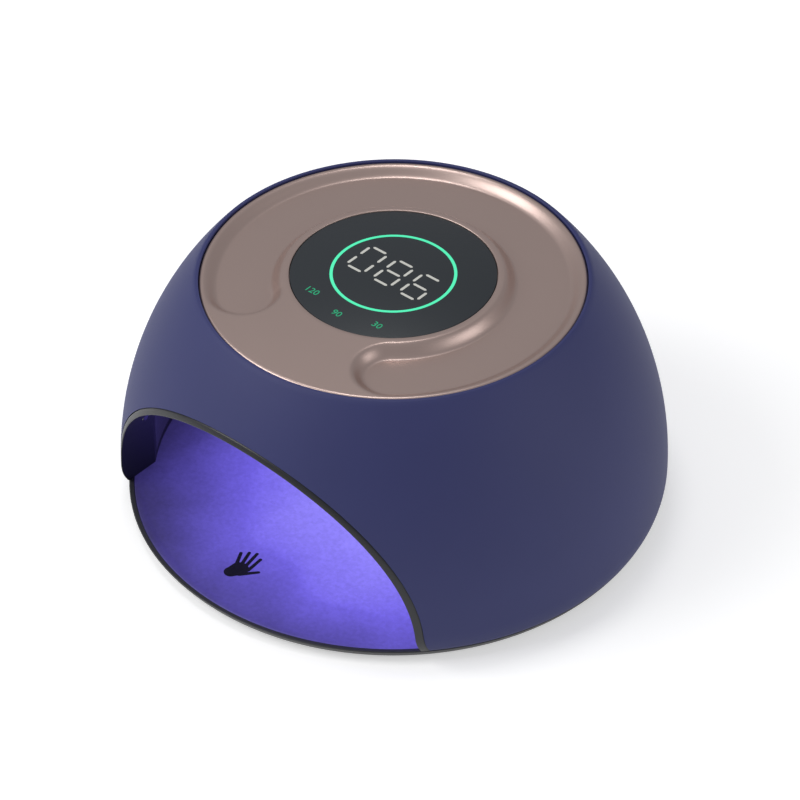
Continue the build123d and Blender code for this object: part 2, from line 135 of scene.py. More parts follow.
def addFloor():
    bm = bmesh.new()
    bmesh.ops.create_grid(bm, x_segments=2, y_segments=2, size=studioSetup["floorSize"])
    mesh = bpy.data.meshes.new("floor")
    bm.to_mesh(mesh)
    bm.free()
    floor = bpy.data.objects.new("floor", mesh)
    bpy.context.collection.objects.link(floor)
    material = bpy.data.materials.new("paleFloor")
    material.use_nodes = True
    tree = material.node_tree
    tree.nodes.clear()
    out = tree.nodes.new("ShaderNodeOutputMaterial")
    add = tree.nodes.new("ShaderNodeAddShader")
    matt = tree.nodes.new("ShaderNodeBsdfDiffuse")
    matt.inputs["Color"].default_value = studioSetup["floorColor"]
    glow = tree.nodes.new("ShaderNodeEmission")
    glow.inputs["Color"].default_value = (1, 1, 1, 1)
    path = tree.nodes.new("ShaderNodeLightPath")
    either = tree.nodes.new("ShaderNodeMath")
    either.operation = "MAXIMUM"
    scale = tree.nodes.new("ShaderNodeMath")
    scale.operation = "MULTIPLY"
    scale.inputs[1].default_value = studioSetup["floorGlow"]
    tree.links.new(path.outputs["Is Camera Ray"], either.inputs[0])
    tree.links.new(path.outputs["Is Glossy Ray"], either.inputs[1])
    tree.links.new(either.outputs[0], scale.inputs[0])
    tree.links.new(scale.outputs[0], glow.inputs["Strength"])
    tree.links.new(matt.outputs[0], add.inputs[0])
    tree.links.new(glow.outputs[0], add.inputs[1])
    tree.links.new(add.outputs[0], out.inputs["Surface"])
    mesh.materials.append(material)


addCamera()
addLamps()
addWorld()
addFloor()
bpy.context.scene.view_settings.view_transform = "Standard"
print("camera, lamps and floor placed")


def newGroup(name, inputs, outputs):
    # a shader node group with named sockets: (name, type, value)
    group = bpy.data.node_groups.new(name, "ShaderNodeTree")
    for label, kind, value in inputs:
        socket = group.interface.new_socket(label, in_out="INPUT", socket_type=kind)
        socket.default_value = value
    for label, kind in outputs:
        group.interface.new_socket(label, in_out="OUTPUT", socket_type=kind)
    return group, group.nodes.new("NodeGroupInput"), group.nodes.new("NodeGroupOutput")


def mouldedFinish():
    # fine moulded or painted surface: a faint mottle of the colour, a rough map and a height
    group, given, out = newGroup(
        "mouldedFinish",
        [
            ("Color", "NodeSocketColor", (0.5, 0.5, 0.5, 1)),
            ("Mottle", "NodeSocketFloat", 0.06),
            ("Grain Scale", "NodeSocketFloat", 1500.0),
            ("Roughness", "NodeSocketFloat", 0.5),
            ("Roughness Spread", "NodeSocketFloat", 0.08),
        ],
        [
            ("Color", "NodeSocketColor"),
            ("Roughness", "NodeSocketFloat"),
            ("Height", "NodeSocketFloat"),
        ],
    )
    make, link = group.nodes.new, group.links.new
    place = make("ShaderNodeTexCoord")
    broad = make("ShaderNodeTexNoise")
    broad.inputs["Scale"].default_value = 18.0
    broad.inputs["Detail"].default_value = 3.0
    fine = make("ShaderNodeTexNoise")
    fine.inputs["Detail"].default_value = 2.0
    link(place.outputs["Object"], broad.inputs["Vector"])
    link(place.outputs["Object"], fine.inputs["Vector"])
    link(given.outputs["Grain Scale"], fine.inputs["Scale"])
    shade = make("ShaderNodeMapRange")
    shade.inputs["From Min"].default_value = 0.25
    shade.inputs["From Max"].default_value = 0.75
    low = make("ShaderNodeMath")
    low.operation = "SUBTRACT"
    low.inputs[0].default_value = 1.0
    high = make("ShaderNodeMath")
    high.operation = "ADD"
    high.inputs[0].default_value = 1.0
    link(given.outputs["Mottle"], low.inputs[1])
    link(given.outputs["Mottle"], high.inputs[1])
    link(low.outputs[0], shade.inputs["To Min"])
    link(high.outputs[0], shade.inputs["To Max"])
    link(broad.outputs["Fac"], shade.inputs["Value"])
    tint = make("ShaderNodeVectorMath")
    tint.operation = "SCALE"
    link(given.outputs["Color"], tint.inputs[0])
    link(shade.outputs["Result"], tint.inputs["Scale"])
    link(tint.outputs["Vector"], out.inputs["Color"])
    centred = make("ShaderNodeMath")
    centred.operation = "SUBTRACT"
    centred.inputs[1].default_value = 0.5
    link(fine.outputs["Fac"], centred.inputs[0])
    spread = make("ShaderNodeMath")
    spread.operation = "MULTIPLY_ADD"
    link(centred.outputs[0], spread.inputs[0])
    link(given.outputs["Roughness Spread"], spread.inputs[1])
    link(given.outputs["Roughness"], spread.inputs[2])
    link(spread.outputs[0], out.inputs["Roughness"])
    link(fine.outputs["Fac"], out.inputs["Height"])
    return group


def paintedVioletLight():
    # painted light and shade: the LEDs' violet glow painted onto the inside as emission, bright in a
    # pool and painted shade away from it; it glows by itself, so it stays when the head is lifted
    group, given, out = newGroup(
        "paintedVioletLight",
        [
            ("Centre", "NodeSocketVector", (0.0, 0.0, 0.0)),
            ("Reach", "NodeSocketFloat", 0.1),
            ("Speckle Scale", "NodeSocketFloat", 700.0),
            ("Dark", "NodeSocketColor", (0.01, 0.008, 0.03, 1)),
            ("Middle", "NodeSocketColor", (0.16, 0.12, 0.75, 1)),
            ("Bright", "NodeSocketColor", (0.32, 0.27, 1.0, 1)),
        ],
        [("Color", "NodeSocketColor")],
    )
    make, link = group.nodes.new, group.links.new
    place = make("ShaderNodeTexCoord")
    away = make("ShaderNodeVectorMath")
    away.operation = "DISTANCE"
    link(place.outputs["Object"], away.inputs[0])
    link(given.outputs["Centre"], away.inputs[1])
    share = make("ShaderNodeMath")
    share.operation = "DIVIDE"
    link(away.outputs["Value"], share.inputs[0])
    link(given.outputs["Reach"], share.inputs[1])
    broad = make("ShaderNodeTexNoise")
    broad.inputs["Scale"].default_value = 26.0
    broad.inputs["Detail"].default_value = 4.0
    link(place.outputs["Object"], broad.inputs["Vector"])
    stir = make("ShaderNodeMath")
    stir.operation = "MULTIPLY_ADD"
    stir.inputs[1].default_value = 0.25
    link(broad.outputs["Fac"], stir.inputs[0])
    link(share.outputs[0], stir.inputs[2])
    # the fade from the painted light of the pool to painted shade away from its centre
    fade = make("ShaderNodeMapRange")
    fade.interpolation_type = "SMOOTHSTEP"
    fade.inputs["From Min"].default_value = 1.12
    fade.inputs["From Max"].default_value = 0.2
    link(stir.outputs[0], fade.inputs["Value"])
    lower = make("ShaderNodeMix")
    lower.data_type = "RGBA"
    upper = make("ShaderNodeMix")
    upper.data_type = "RGBA"
    firstHalf = make("ShaderNodeMapRange")
    firstHalf.inputs["From Max"].default_value = 0.55
    secondHalf = make("ShaderNodeMapRange")
    secondHalf.inputs["From Min"].default_value = 0.5
    link(fade.outputs["Result"], firstHalf.inputs["Value"])
    link(fade.outputs["Result"], secondHalf.inputs["Value"])
    link(firstHalf.outputs["Result"], lower.inputs[0])
    link(given.outputs["Dark"], lower.inputs[6])
    link(given.outputs["Middle"], lower.inputs[7])
    link(secondHalf.outputs["Result"], upper.inputs[0])
    link(lower.outputs[2], upper.inputs[6])
    link(given.outputs["Bright"], upper.inputs[7])
    # a fine random speckle in the brightness of the painted glow
    speck = make("ShaderNodeTexNoise")
    speck.inputs["Detail"].default_value = 3.0
    link(place.outputs["Object"], speck.inputs["Vector"])
    link(given.outputs["Speckle Scale"], speck.inputs["Scale"])
    glowSpeckle = make("ShaderNodeMapRange")
    glowSpeckle.inputs["From Min"].default_value = 0.3
    glowSpeckle.inputs["From Max"].default_value = 0.7
    glowSpeckle.inputs["To Min"].default_value = 0.9
    glowSpeckle.inputs["To Max"].default_value = 1.1
    link(speck.outputs["Fac"], glowSpeckle.inputs["Value"])
    tint = make("ShaderNodeVectorMath")
    tint.operation = "SCALE"
    link(upper.outputs[2], tint.inputs[0])
    link(glowSpeckle.outputs["Result"], tint.inputs["Scale"])
    link(tint.outputs["Vector"], out.inputs["Color"])
    return group


finishGroup = mouldedFinish()
paintedLightGroup = paintedVioletLight()

finishes = {
    # name: colour, metallic, roughness, mottle, grain scale, grain height in metres, coat
    "navyShell": ((0.026, 0.031, 0.128), 0.0, 0.62, 0.05, 2600.0, 0.000012, 0.0),
    "roseMetal": ((0.52, 0.395, 0.355), 0.85, 0.36, 0.02, 3200.0, 0.000005, 0.1),
    "blackTrim": ((0.010, 0.011, 0.014), 0.0, 0.40, 0.04, 2200.0, 0.000006, 0.0),
    "baseBlack": ((0.030, 0.031, 0.033), 0.0, 0.48, 0.05, 1800.0, 0.000014, 0.0),
    "blackPlastic": ((0.018, 0.018, 0.020), 0.0, 0.42, 0.04, 1800.0, 0.000010, 0.0),
    "smokedWindow": ((0.016, 0.021, 0.026), 0.0, 0.42, 0.02, 900.0, 0.0, 0.0),
    "footRubber": ((0.020, 0.020, 0.021), 0.0, 0.80, 0.08, 2200.0, 0.00002, 0.0),
    "bareAluminium": ((0.62, 0.62, 0.64), 1.0, 0.35, 0.03, 2400.0, 0.000006, 0.0),
    "boltSteel": ((0.50, 0.50, 0.52), 1.0, 0.30, 0.03, 2400.0, 0.000004, 0.0),
    "nickelMagnet": ((0.66, 0.65, 0.63), 1.0, 0.18, 0.02, 1500.0, 0.000003, 0.0),
    "whiteBoard": ((0.78, 0.79, 0.77), 0.0, 0.45, 0.03, 1500.0, 0.000008, 0.1),
    "greenBoard": ((0.015, 0.13, 0.05), 0.0, 0.35, 0.12, 600.0, 0.00001, 0.3),
    "brassPost": ((0.72, 0.53, 0.24), 1.0, 0.30, 0.03, 1500.0, 0.000003, 0.0),
    "displayModule": ((0.030, 0.030, 0.033), 0.0, 0.35, 0.03, 1500.0, 0.000005, 0.1),
    "greyPad": ((0.30, 0.31, 0.33), 0.0, 0.75, 0.08, 1200.0, 0.00002, 0.0),
    "ferriteGrey": ((0.045, 0.045, 0.047), 0.0, 0.60, 0.10, 2400.0, 0.00002, 0.0),
    "canGrey": ((0.20, 0.21, 0.26), 0.6, 0.35, 0.03, 1500.0, 0.000004, 0.0),
    "leadSleeve": ((0.28, 0.02, 0.02), 0.0, 0.38, 0.04, 1500.0, 0.000004, 0.1),
    "sensorLens": ((0.020, 0.018, 0.045), 0.0, 0.10, 0.02, 900.0, 0.0, 1.0),
    "handInk": ((0.008, 0.008, 0.012), 0.0, 0.45, 0.05, 2400.0, 0.000004, 0.0),
}


def finishMaterial(name):
    color, metallic, roughness, mottle, grain, height, coat = finishes[name]
    material = bpy.data.materials.new(name)
    material.use_nodes = True
    tree = material.node_tree
    shader = tree.nodes["Principled BSDF"]
    shader.inputs["Metallic"].default_value = metallic
    shader.inputs["Coat Weight"].default_value = coat
    shader.inputs["Coat Roughness"].default_value = 0.12
    look = tree.nodes.new("ShaderNodeGroup")
    look.node_tree = finishGroup
    look.inputs["Color"].default_value = (*color, 1)
    look.inputs["Mottle"].default_value = mottle
    look.inputs["Grain Scale"].default_value = grain
    look.inputs["Roughness"].default_value = roughness
    tree.links.new(look.outputs["Color"], shader.inputs["Base Color"])
    tree.links.new(look.outputs["Roughness"], shader.inputs["Roughness"])
    if height:
        bump = tree.nodes.new("ShaderNodeBump")
        bump.inputs["Distance"].default_value = height
        bump.inputs["Strength"].default_value = 1.0
        tree.links.new(look.outputs["Height"], bump.inputs["Height"])
        tree.links.new(bump.outputs["Normal"], shader.inputs["Normal"])
    return material


def litMaterial(name, color, glow, strength, roughness=0.4):
    # a print or lens with its own light
    material = bpy.data.materials.new(name)
    material.use_nodes = True
    tree = material.node_tree
    shader = tree.nodes["Principled BSDF"]
    look = tree.nodes.new("ShaderNodeGroup")
    look.node_tree = finishGroup
    look.inputs["Color"].default_value = (*color, 1)
    look.inputs["Roughness"].default_value = roughness
    shine = tree.nodes.new("ShaderNodeGroup")
    shine.node_tree = finishGroup
    shine.inputs["Color"].default_value = (*glow, 1)
    shine.inputs["Mottle"].default_value = 0.04
    tree.links.new(look.outputs["Color"], shader.inputs["Base Color"])
    tree.links.new(look.outputs["Roughness"], shader.inputs["Roughness"])
    tree.links.new(shine.outputs["Color"], shader.inputs["Emission Color"])
    shader.inputs["Emission Strength"].default_value = strength
    return material


# the emission of these materials is painted light: the LEDs' violet glow, with painted shade away from
# the pool's centre
pools = {
    # name: base colour, metallic, roughness, centre, reach, strength
    "traySteel": ((0.022, 0.020, 0.040), 0.1, 0.50, (0.020, -0.004, 0.0052), 0.125, 1.0),
    "satinLining": ((0.022, 0.020, 0.040), 0.1, 0.50, (0.012, 0.07, 0.022), 0.145, 1.0),
}


def poolMaterial(name):
    color, metallic, roughness, centre, reach, strength = pools[name]
    material = bpy.data.materials.new(name)
    material.use_nodes = True
    tree = material.node_tree
    shader = tree.nodes["Principled BSDF"]
    shader.inputs["Metallic"].default_value = metallic
    look = tree.nodes.new("ShaderNodeGroup")
    look.node_tree = finishGroup
    look.inputs["Color"].default_value = (*color, 1)
    look.inputs["Mottle"].default_value = 0.05
    look.inputs["Grain Scale"].default_value = 900.0
    look.inputs["Roughness"].default_value = roughness
    pool = tree.nodes.new("ShaderNodeGroup")
    pool.node_tree = paintedLightGroup
    pool.inputs["Centre"].default_value = centre
    pool.inputs["Reach"].default_value = reach
    bump = tree.nodes.new("ShaderNodeBump")
    bump.inputs["Distance"].default_value = 0.00003
    tree.links.new(look.outputs["Color"], shader.inputs["Base Color"])
    tree.links.new(look.outputs["Roughness"], shader.inputs["Roughness"])
    tree.links.new(look.outputs["Height"], bump.inputs["Height"])
    tree.links.new(bump.outputs["Normal"], shader.inputs["Normal"])
    # the painted violet light and shade go in as emission
    tree.links.new(pool.outputs["Color"], shader.inputs["Emission Color"])
    shader.inputs["Emission Strength"].default_value = strength
    return material


materials = {name: finishMaterial(name) for name in finishes}
materials.update({name: poolMaterial(name) for name in pools})
materials["ledLens"] = litMaterial("ledLens", (0.5, 0.45, 0.9), (0.42, 0.30, 1.0), 5.0, 0.2)
materials["ringLight"] = litMaterial("ringLight", (0.02, 0.30, 0.16), (0.075, 0.74, 0.40), 0.9)
materials["timeMark"] = litMaterial("timeMark", (0.01, 0.12, 0.06), (0.004, 0.32, 0.145), 0.9)
materials["digitLight"] = litMaterial("digitLight", (0.30, 0.30, 0.28), (0.36, 0.36, 0.33), 0.8)
print("materials made")


def finishPiece(name, mesh, material, body, replaced=(), sharp=35):
    mesh.materials.clear()
    mesh.materials.append(materials[material])
    for polygon in mesh.polygons:
        polygon.use_smooth = True
        polygon.material_index = 0
    mesh.set_sharp_from_angle(angle=radians(sharp))
    piece = bpy.data.objects.new(name, mesh)
    bpy.context.collection.objects.link(piece)
    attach(piece, body)
    if replaced:
        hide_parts(*replaced)
    return piece


def meshFromBmesh(name, bm):
    bmesh.ops.remove_doubles(bm, verts=bm.verts, dist=1e-7)
    bmesh.ops.recalc_face_normals(bm, faces=bm.faces)
    mesh = bpy.data.meshes.new(name)
    bm.to_mesh(mesh)
    bm.free()
    return mesh


def ringLoft(name, rings, closed, segments):
    # rings of (radius, height) in mm, or functions of the angle that return one, joined into a skin
    bm = bmesh.new()
    loops = []
    for ring in rings:
        if callable(ring):
            at = [ring(2 * pi * i / segments) for i in range(segments)]
        else:
            at = [ring] * segments
        if max(r for r, z in at) < 1e-6:
            loops.append([bm.verts.new((0, 0, at[0][1] * mm))])
            continue
        loop = []
        for i, (r, z) in enumerate(at):
            a = 2 * pi * i / segments
            loop.append(bm.verts.new((r * cos(a) * mm, r * sin(a) * mm, z * mm)))
        loops.append(loop)
    pairs = list(zip(loops, loops[1:]))
    if closed:
        pairs.append((loops[-1], loops[0]))
    for a, b in pairs:
        for i in range(segments):
            j = (i + 1) % segments
            if len(a) == 1 and len(b) == 1:
                break
            if len(a) == 1:
                bm.faces.new((a[0], b[i], b[j]))
            elif len(b) == 1:
                bm.faces.new((a[i], b[0], a[j]))
            else:
                bm.faces.new((a[i], b[i], b[j], a[j]))
    return meshFromBmesh(name, bm)


def cutMesh(mesh, cutterMesh, name):
    # an exact boolean cut, taken as a plain mesh
    target = bpy.data.objects.new(name + "Blank", mesh)
    cutter = bpy.data.objects.new(name + "Cutter", cutterMesh)
    for item in (target, cutter):
        bpy.context.collection.objects.link(item)
    cut = target.modifiers.new("cut", "BOOLEAN")
    cut.operation = "DIFFERENCE"
    cut.solver = "EXACT"
    cut.object = cutter
    graph = bpy.context.evaluated_depsgraph_get()
    result = bpy.data.meshes.new_from_object(target.evaluated_get(graph))
    result.name = name
    bpy.data.objects.remove(target)
    bpy.data.objects.remove(cutter)
    return result


def arcPoints(centre, radius, start, end, count):
    # points on an arc, angles in degrees
    points = []
    for i in range(count + 1):
        a = radians(start + (end - start) * i / count)
        points.append((centre[0] + radius * cos(a), centre[1] + radius * sin(a)))
    return points


dome = {
    "widest": 103.0,
    "widestHeight": 14.8,
    "sideArc": 131.2,
    "tuckArc": 20.2,
    "springHeight": 10.7,     # the opening: half an ellipse on straight sides
    "halfWidth": 75.0,
    "rise": 66.1,
    "trimWidth": 2.3,
    "wallDepth": 12.0,
    "foot": 5.5,
    "cutterSteps": 160,
    "cutterReach": 130.0,     # how far the cutter runs out through the front
    "cutterDrop": 5.0,        # how far it goes below the table
    "cutterSlack": 0.15,
}
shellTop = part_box("outer_shell")[1][2] / mm


def domeRadius(z, inset=0.0):
    rise = z - dome["widestHeight"]
    arc = dome["sideArc"] if rise >= 0 else dome["tuckArc"]
    return dome["widest"] - arc + sqrt((arc - inset) ** 2 - rise**2)


def openingPoint(t, inset):
    # t runs from 0 at the right foot, over the top at 0.5, to 1 at the left foot
    half = dome["halfWidth"] - inset
    rise = dome["rise"] - inset
    straight = dome["springHeight"] - dome["foot"]
    share = straight / (straight * 2 + pi * 0.5 * (half + rise))
    if t < share:
        return half, dome["foot"] + straight * t / share
    if t > 1 - share:
        return -half, dome["foot"] + straight * (1 - t) / share
    a = pi * (t - share) / (1 - 2 * share)
    return half * cos(a), dome["springHeight"] + rise * sin(a)


def openingCutter(inset, name):
    # a prism in the shape of the opening, from the axis out through the front
    steps = dome["cutterSteps"]
    drop = -dome["cutterDrop"]
    reach = -dome["cutterReach"] * mm
    outline = [openingPoint(i / steps, inset) for i in range(steps + 1)]
    outline = [(outline[0][0], drop)] + outline + [(outline[-1][0], drop)]
    bm = bmesh.new()
    near = [bm.verts.new((x * mm, 0, z * mm)) for x, z in outline]
    far = [bm.verts.new((x * mm, reach, z * mm)) for x, z in outline]
    count = len(outline)
    for i in range(count):
        j = (i + 1) % count
        bm.faces.new((near[i], near[j], far[j], far[i]))
    bm.faces.new(near[::-1])
    bm.faces.new(far)
    return meshFromBmesh(name, bm)


shellSetup = {
    "wall": 2.6,
    "rimRadius": 71.1,
    "rimRound": 0.35,
    "ledgeTop": 93.0,
    "ledgeBottom": 91.2,
    "ledgeInner": 63.5,
    "segments": 384,
    "sideSteps": 70,
    "insideSteps": 24,
    "inletRadius": 5.65,
    "inletHeight": 20.0,
    "inletY": 100.0,
    "inletDepth": 16.0,
}


def makeShell():
    s = shellSetup
    top = shellTop
    rim = s["rimRound"]
    sideSteps = s["sideSteps"]
    insideSteps = s["insideSteps"]
    rings = []
    foot = dome["foot"]
    for i in range(sideSteps + 1):
        z = foot + rim + (top - rim - foot - rim) * i / sideSteps
        rings.append((domeRadius(z), z))
    topRadius = domeRadius(top)
    rings += [(topRadius - 0.12, top - 0.1), (topRadius - rim, top), (s["rimRadius"] + rim * 0.5, top)]
    rings += [(s["rimRadius"], top - rim * 0.5), (s["rimRadius"], s["ledgeTop"])]
    rings += [(s["ledgeInner"], s["ledgeTop"]), (s["ledgeInner"], s["ledgeBottom"])]
    for i in range(insideSteps + 1):
        z = s["ledgeBottom"] + (foot - s["ledgeBottom"]) * i / insideSteps
        rings.append((domeRadius(z, s["wall"]), z))
    rings.append((domeRadius(foot) - rim, foot))
    blank = ringLoft("shellBlank", rings, True, s["segments"])
    shell = cutMesh(blank, openingCutter(-dome["cutterSlack"], "shellOpening"), "shellMesh")
    # the inlet's hole at the back
    bm = bmesh.new()
    r = s["inletRadius"] * mm
    hole = bmesh.ops.create_cone(
        bm, cap_ends=True, segments=64, radius1=r, radius2=r, depth=s["inletDepth"] * mm
    )
    spot = Vector((0, s["inletY"], s["inletHeight"])) * mm
    turn = Matrix.Translation(spot) @ Matrix.Rotation(pi / 2, 4, "X")
    bmesh.ops.transform(bm, matrix=turn, verts=hole["verts"])
    shell = cutMesh(shell, meshFromBmesh("inletHole", bm), "outerShell")
    return finishPiece("outerShell", shell, "navyShell", "head", ["outer_shell"])


trimSetup = {"steps": 220, "faceRound": 0.55, "backRound": 0.2, "roundSteps": 4}


def makeTrim():
    # a rounded strip swept round the opening, its face flush with the dome
    steps = trimSetup["steps"]
    width = dome["trimWidth"]
    depth = dome["wallDepth"]
    face = trimSetup["faceRound"]
    back = trimSetup["backRound"]
    section = []
    for cx, cy, r, start in (
        (face, face, face, 180),
        (width - face, face, face, 270),
        (width - back, depth - back, back, 0),
        (back, depth - back, back, 90),
    ):
        section += arcPoints((cx, cy), r, start, start + 90, trimSetup["roundSteps"])
    bm = bmesh.new()
    loops = []
    for k in range(steps + 1):
        loop = []
        for across, inward in section:
            x, z = openingPoint(k / steps, across)
            r = domeRadius(z) - inward
            if z < dome["widestHeight"]:      # straight inside, below the widest point
                r = domeRadius(z) + (dome["widest"] - depth - domeRadius(z)) * inward / depth
            y = -sqrt(max(r * r - x * x, 0))
            loop.append(bm.verts.new((x * mm, y * mm, z * mm)))
        loops.append(loop)
    count = len(section)
    for a, b in zip(loops, loops[1:]):
        for i in range(count):
            j = (i + 1) % count
            bm.faces.new((a[i], a[j], b[j], b[i]))
    bm.faces.new(loops[0])
    bm.faces.new(loops[-1][::-1])
    mesh = meshFromBmesh("archTrim", bm)
    return finishPiece("archTrim", mesh, "blackTrim", "head", ["arch_trim"], 50)


makeShell()
makeTrim()
print("shell and trim made")

coverSetup = {
    "holeRadius": 33.9,
    "seatRadius": 38.1,
    "seatHeight": 98.4,
    "lipHeight": 100.2,
    "lipOuter": 39.5,
    "outer": 70.87,
    "edgeHeight": 98.6,
    "edgeRound": 1.2,
    "bottom": 93.0,
    "channelRadius": 54.9,
    "channelHalf": 10.0,
    "channelFloor": 95.6,
    "slope": 4.7,
    "endAngle": 40.0,
    "innerEase": 0.6,
    "lipEdge": 0.3,           # width of the lip's round, with one point in between
    "lipDrop": 0.25,
    "lipMiddle": 0.08,
    "edgeTurns": (70, 45, 20, 0),     # degrees
    "segments": 480,
    "steps": 104,
}


def smooth(t):
    t = min(max(t, 0.0), 1.0)
    return t * t * (3 - 2 * t)


def coverHeight(r, angle):
    # angle from +X; the front is at -90 degrees
    c = coverSetup
    span = c["outer"] - c["lipOuter"]
    land = c["lipHeight"] + (c["edgeHeight"] - c["lipHeight"]) * (r - c["lipOuter"]) / span
    off = (angle + pi / 2 + pi) % (2 * pi) - pi
    end = radians(c["endAngle"])
    if abs(off) >= end:
        away = abs(r - c["channelRadius"])
    else:
        turn = end - abs(off)
        middle = c["channelRadius"]
        away = sqrt(r * r + middle**2 - 2 * r * middle * cos(turn))
    rise = smooth((away - c["channelHalf"] + c["innerEase"]) / (c["slope"] + c["innerEase"]))
    return c["channelFloor"] + (land - c["channelFloor"]) * rise


def makeCover():
    c = coverSetup
    rings = [(c["holeRadius"], c["bottom"]), (c["holeRadius"], c["seatHeight"])]
    seat, lip = c["seatRadius"], c["lipHeight"]
    middle, edgeWidth = c["lipMiddle"], c["lipEdge"]
    rings += [(seat, c["seatHeight"]), (seat, lip - c["lipDrop"])]
    rings += [(seat + middle, lip - middle), (seat + edgeWidth, lip)]
    start = c["lipOuter"]
    rings.append((start - edgeWidth, lip))
    end = c["outer"] - c["edgeRound"]
    steps = c["steps"]
    for i in range(steps + 1):
        r = start + (end - start) * i / steps

        def ring(angle, r=r):
            return r, coverHeight(r, angle)

        rings.append(ring)
    centre = (c["outer"] - c["edgeRound"], c["edgeHeight"] - c["edgeRound"])
    for a in c["edgeTurns"]:
        turn = radians(a)

        def edge(angle, turn=turn):
            top = coverHeight(centre[0], angle)
            return centre[0] + c["edgeRound"] * cos(turn), top - c["edgeRound"] * (1 - sin(turn))

        rings.append(edge)
    rings.append((c["outer"], c["bottom"]))
    mesh = ringLoft("topCover", rings, True, c["segments"])
    return finishPiece("topCover", mesh, "roseMetal", "head", ["top_cover"], 50)


windowSetup = {"rim": 0.25, "outer": 37.85, "bottom": 98.42, "top": 100.0, "segments": 240}


def makeWindow():
    w = windowSetup
    rim, outer = w["rim"], w["outer"]
    low, high = w["bottom"], w["top"]
    rings = [(0, low), (outer, low), (outer, high - rim)]
    rings += [(outer - rim * 0.3, high - rim * 0.3), (outer - rim, high), (0, high)]
    name = "displayWindow"
    mesh = ringLoft(name, rings, False, w["segments"])
    return finishPiece(name, mesh, "smokedWindow", "head", ["display_window"])


makeCover()
makeWindow()
print("cover and window made")

displaySetup = {
    "top": 100.0,
    "proud": 0.05,
    "lift": 0.005,            # clear of the window's face
    "digitHeight": 14.2,
    "digitWidth": 8.2,
    "digitPitch": 12.7,
    "strokeWidth": 1.05,
    "segmentGap": 0.95,
    "ringRadius": 22.7,
    "ringWidth": 1.15,
    "markRadius": 31.2,
    "markHeight": 3.0,
    "marks": (("120", -30.0), ("90", 0.0), ("30", 30.0)),
}
segmentsOf = {"0": "abcdef", "8": "abcdefg", "6": "acdefg"}


def flatBlock(bm, outline, low, high):
    # a thin solid on a flat outline, in mm
    bottom = [bm.verts.new((x * mm, y * mm, low * mm)) for x, y in outline]
    top = [bm.verts.new((x * mm, y * mm, high * mm)) for x, y in outline]
    count = len(outline)
    for i in range(count):
        j = (i + 1) % count
        bm.faces.new((bottom[i], bottom[j], top[j], top[i]))
    bm.faces.new(bottom[::-1])
    bm.faces.new(top)


def stroke(bm, start, end, width, low, high):
    # one display segment with pointed ends
    sx, sy = start
    ex, ey = end
    length = hypot(ex - sx, ey - sy)
    ux, uy = (ex - sx) / length, (ey - sy) / length
    h = width / 2
    outline = [(sx, sy), (sx + (ux + uy) * h, sy + (uy - ux) * h)]
    outline += [(ex - (ux - uy) * h, ey - (uy + ux) * h), (ex, ey)]
    outline += [(ex - (ux + uy) * h, ey - (uy - ux) * h), (sx + (ux - uy) * h, sy + (uy + ux) * h)]
    flatBlock(bm, outline, low, high)


def makeDigits():
    d = displaySetup
    low, high = d["top"] + d["lift"], d["top"] + d["proud"]
    w, h, gap = d["digitWidth"] / 2, d["digitHeight"] / 2, d["segmentGap"]
    bm = bmesh.new()
    for place, digit in enumerate("086"):
        cx = (place - 1) * d["digitPitch"]
        ends = {
            "a": ((cx - w + gap, h), (cx + w - gap, h)),
            "b": ((cx + w, h - gap), (cx + w, gap)),
            "c": ((cx + w, -gap), (cx + w, -h + gap)),
            "d": ((cx - w + gap, -h), (cx + w - gap, -h)),
            "e": ((cx - w, -gap), (cx - w, -h + gap)),
            "f": ((cx - w, h - gap), (cx - w, gap)),
            "g": ((cx - w + gap, 0), (cx + w - gap, 0)),
        }
        for letter in segmentsOf[digit]:
            stroke(bm, *ends[letter], d["strokeWidth"], low, high)
    mesh = meshFromBmesh("timeDigits", bm)
    finishPiece("timeDigits", mesh, "digitLight", "head")


def makeRingLight():
    d = displaySetup
    low, high = d["top"] + d["lift"], d["top"] + d["proud"]
    inner = d["ringRadius"] - d["ringWidth"] / 2
    outer = d["ringRadius"] + d["ringWidth"] / 2
    rings = [(inner, low), (outer, low), (outer, high), (inner, high)]
    mesh = ringLoft("ringLight", rings, True, 256)
    finishPiece("ringLight", mesh, "ringLight", "head")


def makeTimeMarks():
    d = displaySetup
    for words, angle in d["marks"]:
        data = bpy.data.curves.new("mark" + words, "FONT")
        data.body = words
        data.size = d["markHeight"] * 1.36 * mm
        data.align_x = "CENTER"
        data.align_y = "CENTER"
        data.extrude = d["proud"] * 0.4 * mm
        data.resolution_u = 4
        text = bpy.data.objects.new("markText", data)
        bpy.context.collection.objects.link(text)
        graph = bpy.context.evaluated_depsgraph_get()
        mesh = bpy.data.meshes.new_from_object(text.evaluated_get(graph))
        bpy.data.objects.remove(text)
        a = radians(angle)
        r = d["markRadius"] * mm
        high = (d["top"] + d["proud"] * 0.5) * mm
        mesh.transform(Matrix.Translation((r * sin(a), -r * cos(a), high)))
        bm = bmesh.new()
        bm.from_mesh(mesh)
        mesh = meshFromBmesh("timeMark" + words, bm)
        finishPiece("timeMark" + words, mesh, "timeMark", "head")


makeDigits()
makeRingLight()
makeTimeMarks()
print("display marks made")

baseSetup = {
    "plateBottom": 1.2,
    "trayTop": 5.2,
    "trayThickness": 1.0,
    "trayRadius": 98.4,
    "trayRecess": 0.22,
    "trayEdge": 0.4,
    "trayRim": (2.4, 3.0, 4.0),       # where the raised rim ends and slopes down, from the edge
    "trayRimDrop": 0.02,
    "edgeRound": 0.5,
    "seatGap": 0.15,
    "segments": 256,
}


